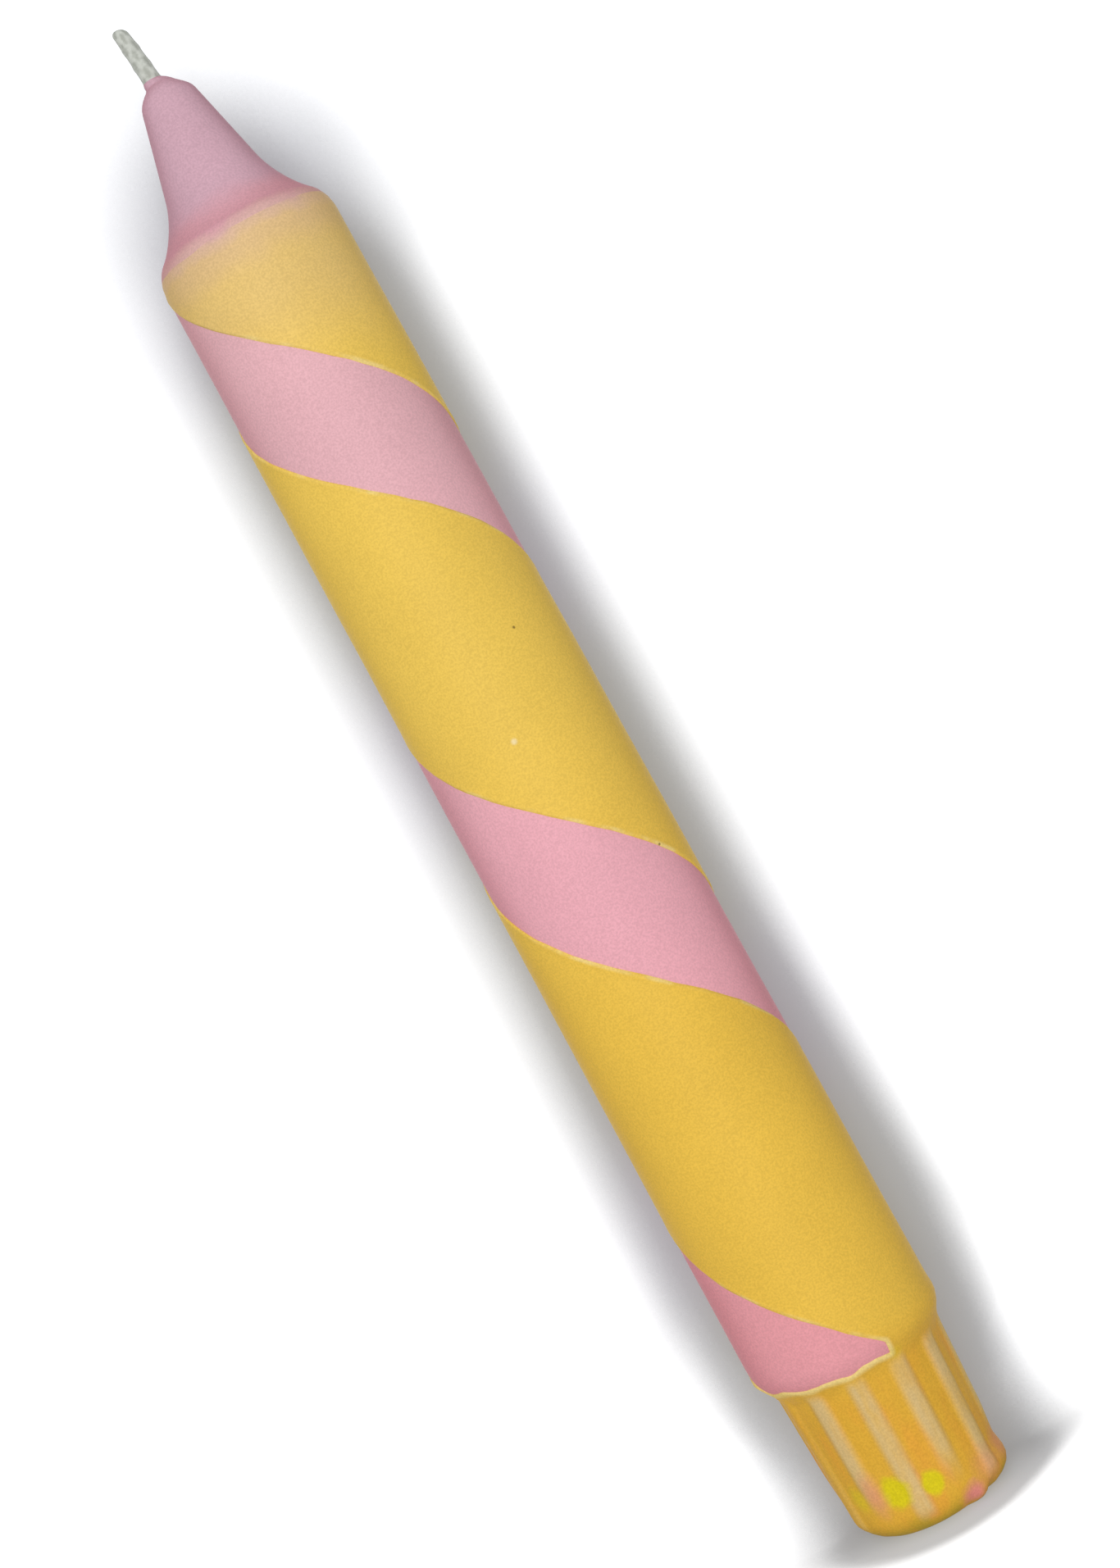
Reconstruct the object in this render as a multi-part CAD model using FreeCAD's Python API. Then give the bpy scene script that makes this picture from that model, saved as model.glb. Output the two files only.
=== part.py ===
import FreeCAD, Part

import math
import os

# Taper candle. Pink wax core with a ribbed fitting foot, a thin yellow dipped coat that leaves one
# helical band of the core bare, and a cotton wick.
# Units are millimetres. The candle stands on its foot: +Z is up and the origin is the centre of the base.
# Angles are seen from above, counted from the front (-Y) towards the right (+X).

# Wax core
wax_height = 180.0              # base of the coat to the top of the nose
body_bottom_diameter = 22.2     # core, just above the foot
body_top_diameter = 20.8        # core, at the shoulder

# Nose and cone
cone_length = 19.3              # shoulder corner to the top of the nose
neck_length = 15.4              # flare corner to the top of the nose
neck_diameter = 13.0            # at the flare corner
nose_diameter = 5.8             # where the cone would meet the top of the nose
neck_rounding = 11.0
shoulder_rounding = 2.4

# Fitting foot
foot_length = 18.2              # base to the inner corner of the step
foot_step_length = 2.8          # height of the sloping step up to the body
foot_top_diameter = 18.8        # bottom of the grooves, under the step
foot_bottom_diameter = 17.0     # bottom of the grooves, at the base
foot_rim_chamfer = 0.8
rib_count = 12
rib_width = 2.1                 # where its flanks leave the groove
rib_crest_width = 1.0
rib_height = 0.45
rib_end_height = 2.2            # base to the lower end of the ribs
first_rib_angle = 20.7

# Dipped coat and its bare band
coat_thickness = 0.35
coat_shoulder_rounding = 4.7    # the coat thins out over the shoulder
coat_rim_chamfer = 1.3          # it softens the foot's rim
dip_line_distance = 20.2        # top of the nose to the dip line, on the axis
dip_line_tilt = 2.7             # degrees, higher on the right
band_angle = 113.0              # width of the wound tape, round the candle
band_end_height = 20.3          # where the tape stopped, above the base
band_bottom_pitch = 65.5        # rise of one turn there
band_top_pitch = 53.5           # rise of one turn at the dip line
band_pass_height = 144.4        # the band's leading edge passes the front here
band_section_turn = 45.0        # degrees between two sections of the band, at most
band_turn_steps = 60            # small rises that the band's turn is added up in
cutter_margin = 2.0             # how far a cutting shape reaches past what it cuts

# Drawing
long_edge = 50.0                # what counts as a long edge of a light outline
shortest_edge = 0.000001        # a line shorter than this is left out

# Wick
wick_diameter = 2.25
wick_tip_diameter = 1.85
wick_stub_length = 7.1          # above the nose
wick_bend_depth = 12.0          # below the nose, where it starts to lean
wick_bend_radius = 140.0
wick_tip_chamfer = 0.45
collar_rise = 0.45              # wax drawn up round the wick, above the nose
collar_depth = 0.75             # and down to where the collar meets the nose
collar_width = 0.7

# Sizes that follow from the others
body_bottom_radius = body_bottom_diameter / 2
body_top_radius = body_top_diameter / 2
neck_radius = neck_diameter / 2
nose_radius = nose_diameter / 2
foot_top_radius = foot_top_diameter / 2
foot_bottom_radius = foot_bottom_diameter / 2
shoulder_height = wax_height - cone_length
neck_height = wax_height - neck_length
dip_line_height = wax_height - dip_line_distance
step_height = foot_length + foot_step_length
core_base_height = coat_thickness
widest_radius = body_bottom_radius + coat_thickness
cone_slope = math.atan((neck_radius - nose_radius) / neck_length)
nose_rounding = nose_radius * math.tan((math.pi / 2 + cone_slope) / 2)


def corner_vectors(points, index):
    """Unit vectors from a corner to the corners before and after it."""
    back = points[index - 1] - points[index]
    ahead = points[index + 1] - points[index]
    back.normalize()
    ahead.normalize()
    return back, ahead


def tangent_lengths(points, roundings):
    """How far each rounding reaches along its two lines, kept within the lines it shares."""
    reach = [0.0] * len(points)
    for index in range(1, len(points) - 1):
        back, ahead = corner_vectors(points, index)
        half_angle = back.getAngle(ahead) / 2
        reach[index] = roundings[index] / math.tan(half_angle)
    share = [1.0] * len(points)
    for index in range(len(points) - 1):
        wanted = reach[index] + reach[index + 1]
        length = (points[index + 1] - points[index]).Length
        if wanted > length:
            share[index] = min(share[index], length / wanted)
            share[index + 1] = min(share[index + 1], length / wanted)
    return [one * part for one, part in zip(reach, share)]


def straight(start, end, light):
    """Straight edge, if it has a length. A long one in a light outline is a curve with two poles,
    because a long cone that nothing cuts meshes with far fewer triangles that way."""
    length = (end - start).Length
    if length < shortest_edge:
        return []
    if light and length > long_edge:
        line = Part.BezierCurve()
        line.setPoles([start, end])
        return [line.toShape()]
    return [Part.makeLine(start, end)]


def rounded_outline(corners, light):
    """Lines and tangent arcs through (radius, height, rounding) corners, in the XZ plane."""
    points = [FreeCAD.Vector(radius, 0, height) for radius, height, _ in corners]
    reach = tangent_lengths(points, [rounding for _, _, rounding in corners])
    edges = []
    start = points[0]
    for index in range(1, len(points) - 1):
        if reach[index] == 0:
            edges += straight(start, points[index], light)
            start = points[index]
            continue
        back, ahead = corner_vectors(points, index)
        arc_start = points[index] + back * reach[index]
        arc_end = points[index] + ahead * reach[index]
        half_angle = back.getAngle(ahead) / 2
        bisector = back + ahead
        bisector.normalize()
        to_centre = reach[index] / math.cos(half_angle)
        radius = reach[index] * math.tan(half_angle)
        arc_middle = points[index] + bisector * (to_centre - radius)
        edges += straight(start, arc_start, light)
        edges.append(Part.Arc(arc_start, arc_middle, arc_end).toShape())
        start = arc_end
    return edges + straight(start, points[-1], light)


def turned(corners, light=False):
    """Solid turned about the candle's axis from an outline that starts and ends on the axis."""
    edges = rounded_outline(corners, light)
    bottom = FreeCAD.Vector(0, 0, corners[0][1])
    top = FreeCAD.Vector(0, 0, corners[-1][1])
    edges.append(Part.makeLine(top, bottom))
    face = Part.Face(Part.Wire(edges))
    return face.revolve(FreeCAD.Vector(0, 0, 0), FreeCAD.Vector(0, 0, 1), 360)


def core_foot_corners():
    """Outline of the pressed foot and its step, from the base up to the body."""
    return [
        (0, core_base_height, 0),
        (foot_bottom_radius - foot_rim_chamfer, core_base_height, 0),
        (foot_bottom_radius, core_base_height + foot_rim_chamfer, 0),
        (foot_top_radius, foot_length, 0),
        (body_bottom_radius, step_height, 0),
    ]


def coat_foot_corners():
    """Outline of the coat over the foot, from the base up to the body."""
    rim_radius = foot_bottom_radius + coat_thickness
    return [
        (0, 0, 0),
        (rim_radius - coat_rim_chamfer, 0, 0),
        (rim_radius, coat_rim_chamfer, 0),
        (foot_top_radius + coat_thickness, foot_length, 0),
        (body_bottom_radius + coat_thickness, step_height, 0),
    ]


def rib_section(height, groove_radius, skin):
    """Trapezoid across a rib, from inside the foot to the crest."""
    root = groove_radius - rib_height
    crest = groove_radius + skin + rib_height
    narrowing = (rib_width - rib_crest_width) / 2 / rib_height
    half_crest = rib_crest_width / 2 + skin
    half_root = half_crest + narrowing * (crest - root)
    return Part.makePolygon([
        FreeCAD.Vector(root, -half_root, height),
        FreeCAD.Vector(crest, -half_crest, height),
        FreeCAD.Vector(crest, half_crest, height),
        FreeCAD.Vector(root, half_root, height),
        FreeCAD.Vector(root, -half_root, height),
    ])


def foot_ribs(skin):
    """Ridges down the foot, which run into the step at their tops."""
    slope = (foot_top_radius - foot_bottom_radius) / foot_length
    top_height = foot_length + foot_step_length / 2
    rib = Part.makeLoft([
        rib_section(rib_end_height, foot_bottom_radius + slope * rib_end_height, skin),
        rib_section(top_height, foot_bottom_radius + slope * top_height, skin),
    ], True, True)
    ribs = []
    for index in range(rib_count):
        copy = rib.copy()
        angle = first_rib_angle - 90 + index * 360 / rib_count
        copy.rotate(FreeCAD.Vector(0, 0, 0), FreeCAD.Vector(0, 0, 1), angle)
        ribs.append(copy)
    return ribs


def wick_axis_point(height):
    """Point of the wick's middle line and its direction, at a length above the bend's start."""
    angle = max(0.0, height) / wick_bend_radius
    start = wax_height - wick_bend_depth
    lean = wick_bend_radius * (1 - math.cos(angle))
    rise = wick_bend_radius * math.sin(angle) + min(0.0, height)
    point = FreeCAD.Vector(-lean, 0, start + rise)
    direction = FreeCAD.Vector(-math.sin(angle), 0, math.cos(angle))
    return point, direction


def wick_ring(length, radius):
    """Round section across the wick's middle line."""
    point, direction = wick_axis_point(length)
    return Part.Wire(Part.makeCircle(radius, point, direction))


def make_buried_wick():
    """The wick inside the wax: straight, then leaning along an arc up to the nose."""
    radius = wick_diameter / 2
    start = wax_height - wick_bend_depth
    bottom = FreeCAD.Vector(0, 0, core_base_height)
    lower = Part.makeCylinder(radius, start - core_base_height, bottom)
    bend_end, _ = wick_axis_point(wick_bend_depth)
    bend_middle, _ = wick_axis_point(wick_bend_depth / 2)
    path = Part.Wire(Part.Arc(FreeCAD.Vector(0, 0, start), bend_middle, bend_end).toShape())
    bend = path.makePipeShell([wick_ring(0, radius)], True, False)
    return lower.fuse(bend)


def make_wick():
    """Buried wick and the tapering stub above the nose, with a worn cut end."""
    stub_end = wick_bend_depth + wick_stub_length
    rings = [
        wick_ring(wick_bend_depth, wick_diameter / 2),
        wick_ring((wick_bend_depth + stub_end) / 2, (wick_diameter + wick_tip_diameter) / 4),
        wick_ring(stub_end, wick_tip_diameter / 2),
    ]
    stub = Part.makeLoft(rings, True)
    tip, _ = wick_axis_point(stub_end)
    tip_edges = [edge for edge in stub.Edges if edge.BoundBox.ZMin > tip.z - wick_tip_diameter / 2]
    stub = stub.makeChamfer(wick_tip_chamfer, tip_edges)
    return make_buried_wick().fuse(stub).removeSplitter()


def make_collar():
    """Wax drawn up round the wick: a steep cone from the nose to the wick's side."""
    exit_point, direction = wick_axis_point(wick_bend_depth)
    bottom = exit_point - direction * collar_depth
    radius = wick_diameter / 2
    return Part.makeCone(radius + collar_width, radius, collar_rise + collar_depth, bottom, direction)


def make_wax(light):
    """Solid pink candle before its wick: foot with ribs, body, shoulder, cone and nose."""
    corners = core_foot_corners() + [
        (body_top_radius, shoulder_height, shoulder_rounding),
        (neck_radius, neck_height, neck_rounding),
        (nose_radius, wax_height, nose_rounding),
        (0, wax_height, 0),
    ]
    return turned(corners, light).fuse(foot_ribs(0.0))


def make_core(wick):
    """Pink candle with its collar, cast round the wick, which leaves its own bore."""
    return make_wax(light=True).fuse(make_collar()).cut(wick).removeSplitter()


def make_dipped_outside():
    """Everything inside the coat's outer surface, up to the slope above the shoulder."""
    shoulder_slope = (neck_height - shoulder_height) / (body_top_radius - neck_radius)
    corners = coat_foot_corners() + [
        (body_top_radius + coat_thickness, shoulder_height - coat_thickness * shoulder_slope,
         coat_shoulder_rounding),
        (neck_radius, neck_height, 0),
        (0, neck_height, 0),
    ]
    return turned(corners).fuse(foot_ribs(coat_thickness))


def band_pitch(height):
    """Rise of one turn of the band at a height: the tape was wound tighter towards the top."""
    span = dip_line_height - band_end_height
    share = (height - band_end_height) / span
    return band_bottom_pitch + (band_top_pitch - band_bottom_pitch) * share


def band_turn(height):
    """Angle of the band's leading edge at a height, added up in small rises."""
    rise = (height - band_pass_height) / band_turn_steps
    turn = 0.0
    for index in range(band_turn_steps):
        turn -= 360 * rise / band_pitch(band_pass_height + (index + 0.5) * rise)
    return turn


def band_section(height, inner, outer):
    """Slice of the wound tape at a height: a sector behind its leading edge."""
    last = math.radians(band_turn(height) - 90)
    first = last - math.radians(band_angle)
    middle = (first + last) / 2

    def spot(radius, angle):
        return FreeCAD.Vector(radius * math.cos(angle), radius * math.sin(angle), height)

    edges = [
        Part.Arc(spot(outer, first), spot(outer, middle), spot(outer, last)).toShape(),
        Part.makeLine(spot(outer, last), spot(inner, last)),
        Part.Arc(spot(inner, last), spot(inner, middle), spot(inner, first)).toShape(),
        Part.makeLine(spot(inner, first), spot(outer, first)),
    ]
    return Part.Wire(edges)


def make_band():
    """The wound tape as a thick helical strip that leaves the core bare."""
    inner = body_top_radius - cutter_margin
    outer = widest_radius + cutter_margin
    low = band_end_height
    high = dip_line_height + cutter_margin
    turn = abs(band_turn(low) - band_turn(high))
    count = math.ceil(turn / band_section_turn)
    heights = [low + (high - low) * index / count for index in range(count + 1)]
    return Part.makeLoft([band_section(height, inner, outer) for height in heights], True)


def make_dip_limit():
    """Block above the tilted dip line, where the candle was held clear of the yellow wax."""
    side = 2 * (widest_radius + cutter_margin)
    block = Part.makeBox(side, side, side, FreeCAD.Vector(-side / 2, -side / 2, 0))
    block.rotate(FreeCAD.Vector(0, 0, 0), FreeCAD.Vector(0, 1, 0), -dip_line_tilt)
    block.translate(FreeCAD.Vector(0, 0, dip_line_height))
    return block


def make_coat():
    """Yellow coat over foot and body, without the taped band and the nose."""
    coat = make_dipped_outside().cut(make_wax(light=False))
    return coat.cut(make_dip_limit()).cut(make_band())


def build():
    os.makedirs("parts", exist_ok=True)
    wick = make_wick()
    nodes = {
        "wax_core": make_core(wick),
        "overdip": make_coat(),
        "wick": wick,
    }
    for name, shape in nodes.items():
        print(name, shape.ShapeType, "solids", len(shape.Solids), "faces", len(shape.Faces),
              "volume", round(shape.Volume, 2), "valid", shape.isValid())
        shape.exportStep("parts/" + name + ".step")


build()
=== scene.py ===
import math

import bmesh
import bpy
from mathutils import Matrix, Vector, noise


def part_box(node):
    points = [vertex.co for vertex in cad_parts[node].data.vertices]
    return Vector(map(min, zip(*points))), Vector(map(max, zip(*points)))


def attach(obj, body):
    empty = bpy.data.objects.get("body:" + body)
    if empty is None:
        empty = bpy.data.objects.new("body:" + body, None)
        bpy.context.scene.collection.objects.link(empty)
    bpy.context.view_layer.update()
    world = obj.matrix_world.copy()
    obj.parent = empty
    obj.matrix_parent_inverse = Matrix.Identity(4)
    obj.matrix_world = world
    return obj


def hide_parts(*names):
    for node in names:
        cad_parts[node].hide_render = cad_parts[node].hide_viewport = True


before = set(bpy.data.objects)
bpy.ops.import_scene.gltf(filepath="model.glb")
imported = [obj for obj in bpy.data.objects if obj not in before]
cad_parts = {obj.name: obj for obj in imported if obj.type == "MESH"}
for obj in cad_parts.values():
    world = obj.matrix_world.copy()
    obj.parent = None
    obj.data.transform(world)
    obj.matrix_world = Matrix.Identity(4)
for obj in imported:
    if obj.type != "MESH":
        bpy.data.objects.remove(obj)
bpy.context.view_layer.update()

bl_info = {
    "name": "Dipped Taper Candle",
    "version": (1, 0, 0),
    "blender": (4, 5, 0),
    "location": "View3D > Sidebar > Candle",
    "description": "Makes a pink taper candle with a dipped yellow coat, a bare helical band and a wick",
    "category": "Object",
}

MM = 0.001
PHOTO_WIDTH = 1366
PHOTO_HEIGHT = 1913
SENSOR_WIDTH = 36.0             # camera's sensor, in millimetres
FRONT = -math.pi / 2            # direction of the front, as an angle from +X
WHITE = (1, 1, 1, 1)
coat_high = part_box("overdip")[1]


# Mesh

CORE_ARC = 9                    # segments of a rounding in the core's outline
COAT_ARC = 7                    # segments of a rounding in the coat's outline
SWEEP_ARC = 24                  # segments of the hollow in the paper
ON_AXIS = 0.001 * MM            # nearer to the axis than this, a vertex lies on it
MERGE = 0.0001 * MM             # nearer than this, vertices are one
SHARP_ANGLE = math.radians(50)  # edges sharper than this stay sharp
NEAR_EDGE = 1 * MM              # reach of the fine rings above and below the coat's edge over the foot


# Hand-made unevenness of body and nose

CALM_BASE = 30 * MM             # height over which the waves set in above the base
CALM_NOSE = 25 * MM             # height over which the waves die out under the top of the nose
NOSE_ROUND = 0.999              # share of the largest rounding that the nose has room for
SAG_DEPTH = 3 * MM              # depth of the part of the nose that sags
SAG_START = 0.6                 # where the sag sets in, in radii of the wick
LEFT_SAG = 0.5                  # sag on the left, as a share of the sag on the right
COLLAR_START = 0.4              # where the collar leaves the nose, as a share of its spread
COLLAR_RINGS = ((0.2, 0.26), (0.45, 0.2), (0.72, 0.12), (1, 0))   # shares of height and lean, and spread


# Coat's edges, where a lip width is the unit of distances from an edge

THINNING = 0.47                 # share of the dip's drop that is reached where the last stretch starts
LAST_ROUNDING = 0.3             # rounding there, as a share of the one where the coat starts to thin out
ARC_END = 0.95                  # share of the shoulder's rounding that the dip line may follow
OVER_FOOT = 3 * MM              # height over which the lip widens towards its edge over the foot
WIDER_LIP = 0.4                 # how much wider the lip is there, as a share
LIP_END = 3 * MM                # height over which the lip dies out under the dip line
LIP_COLOUR = (0.35, 1.3)        # distances between which the lip's colour fades out
EDGE_ROUND = (-0.2, 0.6)        # distances between which the coat's edge rounds off
EDGE_LOSS = 0.75                # share of the thickness that the rounding takes where it starts
BEAD_MIDDLE = 0.9               # distance of the middle of the lip's bead
RAGGED_GAP = 1.3 * MM           # spacing of the edges' unevenness
RAGGED_REACH = 2 * MM           # how far from an edge its unevenness reaches
DIP_REACH = 9 * MM              # how far under the dip line its slope and unevenness reach
DIP_WANDER = 0.2 * MM           # how far the dip line wanders
DIP_GAP = 4 * MM                # spacing of the dip line's unevenness
FOOT_EDGE_REACH = 2.2 * MM      # how far from the coat's edge over the foot its lift reaches
SCALLOP = 0.17 * MM             # how far that edge rises over a groove and sags over a rib
LEFT_CLIMB = ((0.8, -68, -96), (0.2, -20, -50))   # share of the climb, and directions of its start and end
LEFT_FALL = (-150, -110)        # directions at the back between which the climb sets in from behind


# Foot, with its swells in degrees and millimetres

RIB_CREST = 0.15                # half of a rib's flat crest, as a share of the rib's width
RIB_FADE = 0.5                  # how far a rib's lower end fades each way, as a share of its height
RIB_TOP = (-0.2, 0.5)           # where a rib ends at the step, from its corner, as shares of the step
DENT = 0.03 * MM                # unevenness of the pressed foot
DENT_GAP = 2.5 * MM             # spacing of the foot's unevenness
DENT_END = (25 * MM, 15 * MM)   # heights between which it sets in, downwards
INSIDE_HEIGHT = 9 * MM          # least height of the point inside that tells the coat's two sides apart
RIM_SWELLS = (                  # direction, reach, heights where it starts to end and ends, growth
    (36, 13, 0, 3.0, 0.8),      # drop at the front right
    (50, 10, 0, 2.0, -0.4),     # notch beside the drop
    (78, 50, 1.0, 4.6, 0.95),   # fuller right side
)


# Wick

BURIED_RINGS = (1, 0.75, 0.5, 0.25)     # depths of its rings in the wax, as shares of the bend's depth
WICK_FLAT = 0.2                 # flat middle of its cut end, as a share of its radius
STRAND_SHARE = 0.5              # height of the upper strand in the relief
CROSSING_SHARE = 0.25           # rise and fall of a strand at its crossings
MEAN_RELIEF = 0.5               # relief that neither adds to the radius nor takes from it
RELIEF_START = 1 * MM           # height under the nose over which the relief sets in
FUZZ = 0.25                     # unevenness of the cotton, as a share of the strands' relief
FUZZ_GAP = 0.25 * MM            # spacing of the cotton's unevenness
SLANT_START = 0.6               # where the slant of the cut end sets in, as a share of the stub
SLANT = 0.14                    # slope of the cut end, lower on the right
SLANT_HINGE = 0.4               # place left of the middle that keeps its height, in radii of the tip


# Materials, where a noise is cut between two of its values and its scale is in waves per metre

# Painted shade: these tints multiply the wax's colour where the surface turns away from the view, standing
# in for the darker limbs
PINK_LIMB_SHADE = (0.85, 0.7, 0.72, 1.0)     # how pink wax darkens where it turns away
YELLOW_LIMB_SHADE = (0.92, 0.89, 0.58, 1.0)  # how yellow wax darkens where it turns away
LIMB_SHADE_FACING = (0.25, 0.95)      # facing between which wax darkens
CLOUDS = 0.05                   # strength of the wax's clouds
SPECKLE = 0.16                  # strength of the wax's speckle
SPECKLE_HEIGHT = 0.25           # relief of the speckle, as a share of the pores'
WAX_BUMP = (0.3, 0.05 * MM)     # strength and height of the wax's relief
COTTON_BUMP = (0.6, 0.08 * MM)  # strength and height of the cotton's relief
# Painted shade: the braid's relief picks how much of the hollows' darker cotton shows
STRAND_COLOUR = (-0.4, 0.6)     # relief between which cotton goes from its shade to its full colour
RAMP_DRIFT = 0.5 * MM           # how far a change of colour wanders up and down
STREAKED = (1.0, 1.0, 0.3)      # squeeze of a noise that draws it out into upright streaks
ORANGE = (2.5, 0.55)            # orange wax beside the ribs and everywhere on the foot
ORANGE_END = (20.5 * MM, 16 * MM)       # heights between which the orange wax sets in, downwards
WORN_START = (-8.8 * MM, -7.2 * MM)     # places from the left between which the ribs' worn colour sets in
LIP_STRENGTH = 0.85             # strength of the lip's colour
LIP_OVER_FOOT = (24 * MM, 21 * MM)      # heights between which the lip's colour becomes even, downwards


# Stage

SHADE_LEAN = 0.15               # how far the soft shade leans away from the lamp
SHADE_SAMPLES = 16              # rays that judge how open a point of the stage is
CONE_HEIGHTS = (150 * MM, 172 * MM)     # heights between which the shade takes the cone's reach
FOOT_HEIGHTS = (80 * MM, 8 * MM)        # heights between which the shade deepens to the foot's
FRONT_PLACES = (5 * MM, -10 * MM)       # places between which the floor in front of the base starts
EDGE_ON = (0.88, 0.94)          # facing between which the paper turns clear


# Settings

def size(name, description, millimetres):
    """Length property, given in millimetres and kept in metres."""
    return bpy.props.FloatProperty(
        name=name, description=description, default=millimetres * MM, unit="LENGTH", precision=5)


def turn(name, description, degrees):
    """Angle property, given in degrees and kept in radians."""
    return bpy.props.FloatProperty(
        name=name, description=description, default=math.radians(degrees), subtype="ANGLE")


def tint(name, description, red, green, blue):
    """Colour property, given as the 0 to 255 levels that it shows."""
    return bpy.props.FloatVectorProperty(
        name=name, description=description, size=3, min=0.0, max=1.0, subtype="COLOR_GAMMA",
        default=(red / 255, green / 255, blue / 255))


def count(name, description, number):
    """Whole-number property."""
    return bpy.props.IntProperty(name=name, description=description, default=number, min=1)


def share(name, description, amount):
    """Property from 0 to 1."""
    return bpy.props.FloatProperty(
        name=name, description=description, default=amount, min=0.0, max=1.0, subtype="FACTOR")


def power(name, description, watts):
    """Lamp's power property."""
    return bpy.props.FloatProperty(name=name, description=description, default=watts, unit="POWER")


def pixels(name, description, number):
    """Property in pixels of the picture."""
    return bpy.props.FloatProperty(name=name, description=description, default=number)


class CandleWax(bpy.types.PropertyGroup):
    """Outside sizes of the body and the cone."""

    wax_height: size("Wax height", "Base of the candle to the top of the nose", 180.0)
    bottom_radius: size("Bottom radius", "Dipped body just above the foot", coat_high.x / MM)
    top_radius: size("Top radius", "Dipped body at the shoulder", 10.75)
    cone_length: size("Cone length", "Shoulder corner to the top of the nose", 19.85)
    neck_length: size("Neck length", "Flare corner to the top of the nose", 16.1)
    neck_radius: size("Neck radius", "Cone at the flare corner", 6.62)
    nose_radius: size("Nose radius", "Where the cone would meet the top of the nose", 2.7)
    nose_sag: size("Nose sag", "How far the nose sags on the right", 0.45)
    neck_rounding: size("Neck rounding", "Hollow between cone and shoulder", 12.5)
    shoulder_rounding: size("Shoulder rounding", "Edge between shoulder and body", 3.3)
    waviness: size("Waviness", "How far the hand-made surface wanders", 0.07)
    wave_length: size("Wave length", "Spacing of the surface's slow waves", 17.0)
    ring_gap: size("Ring gap", "Spacing of mesh rings on the body", 1.0)
    columns: count("Columns", "Mesh columns round the core", 160)


class CandleFoot(bpy.types.PropertyGroup):
    """Outside sizes of the pressed foot, with its coat."""

    length: size("Foot length", "Base to the inner corner of the step", 18.5)
    step_length: size("Step length", "Height of the sloping step up to the body", 2.7)
    top_radius: size("Top radius", "Bottom of the grooves under the step", 9.8)
    bottom_radius: size("Bottom radius", "Bottom of the grooves at the base", 9.0)
    offset: size("Offset", "How far the pressed foot sits off the axis, to the right", 0.36)
    rib_count: count("Ribs", "Ribs round the foot", 12)
    rib_width: size("Rib width", "Width of a rib where it leaves the groove", 3.0)
    rib_height: size("Rib height", "How far a rib stands out of its groove", 0.3)
    rib_end: size("Rib end", "Base to the lower end of every other rib", 2.2)
    worn_rib_end: size("Worn rib end", "Base to the lower end of the ribs between", 6.0)
    rib_turn: turn("First rib", "Direction of one rib from the front, to the right", 20.7)
    rim_rounding: size("Rim rounding", "Rounding of the dipped rim", 3.5)
    inner_rounding: size("Inner rounding", "Rounding of the step's inner corner", 2.5)
    outer_rounding: size("Outer rounding", "Rounding of the step's outer corner", 3.4)


class CandleCoat(bpy.types.PropertyGroup):
    """Sizes of the yellow coat and of the band that the tape kept bare."""

    thickness: size("Thickness", "Thickness of the dipped coat", 0.17)
    dip_distance: size("Dip distance", "Top of the nose to the dip line", 20.0)
    dip_tilt: turn("Dip tilt", "Slope of the dip line, higher on the right", 1.0)
    dip_run: size("Dip run", "Height over which the coat thins out under the dip line", 1.8)
    dip_edge: size("Dip edge", "Height of the coat's last stretch, which sinks into the core", 0.55)
    dip_drop: size("Dip drop", "How much narrower the coat is at its upper edge", 0.47)
    dip_rounding: size("Dip rounding", "Rounding where the coat starts to thin out", 5.0)
    band_angle: turn("Band angle", "Width of the bare band round the candle", 113.0)
    band_end: size("Band end", "Where the bare band stops above the base", 20.0)
    band_blunt: size("Band blunt", "Height above the base under which the band's end is blunt", 21.4)
    bottom_pitch: size("Bottom pitch", "Rise of one turn of the band at its lower end", 65.5)
    top_pitch: size("Top pitch", "Rise of one turn of the band at the dip line", 53.5)
    pass_height: size("Pass height", "Where the band's leading edge passes the front", 144.4)
    lip_width: size("Lip width", "Width of the rounded lip along the coat's edges", 0.45)
    lip_height: size("Lip height", "How far the lip stands out of the coat", 0.03)
    ragged: size("Ragged edge", "How far the coat's edges wander", 0.16)
    left_rise: size("Left rise", "How far the coat's edge over the foot climbs at the left", 2.2)
    left_lip: size("Left lip", "How far the climbing edge stands out", 0.17)
    columns: count("Columns", "Mesh columns round the coat", 240)
    ring_gap: size("Ring gap", "Spacing of mesh rings on the body", 1.1)
    foot_ring_gap: size("Foot ring gap", "Spacing of mesh rings on the foot", 0.45)
    lip_ring_gap: size("Lip ring gap", "Spacing of mesh rings at the coat's edge over the foot", 0.14)
    edge_packing: share("Edge packing", "How closely the columns crowd at the band's edges", 0.8)


class CandleWick(bpy.types.PropertyGroup):
    """Sizes of the braided wick and of the wax collar round it."""

    radius: size("Radius", "Wick inside the wax", 1.125)
    tip_radius: size("Tip radius", "Wick at its cut end", 0.925)
    stub_length: size("Stub length", "Wick above the nose", 7.1)
    bend_depth: size("Bend depth", "Where the wick starts to lean, below the nose", 12.0)
    bend_radius: size("Bend radius", "Radius of the wick's lean", 140.0)
    collar_rise: size("Collar rise", "Wax drawn up round the wick", 0.25)
    collar_width: size("Collar width", "How far the drawn-up wax spreads", 1.9)
    strand_relief: size("Strand relief", "Height of the braid's strands", 0.07)
    strand_pitch: size("Strand pitch", "Rise of one turn of a strand", 9.0)
    strands: count("Strands", "Strands that run each way round", 4)
    columns: count("Columns", "Mesh columns round the wick", 64)
    ring_gap: size("Ring gap", "Spacing of mesh rings on the stub", 0.09)


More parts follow.
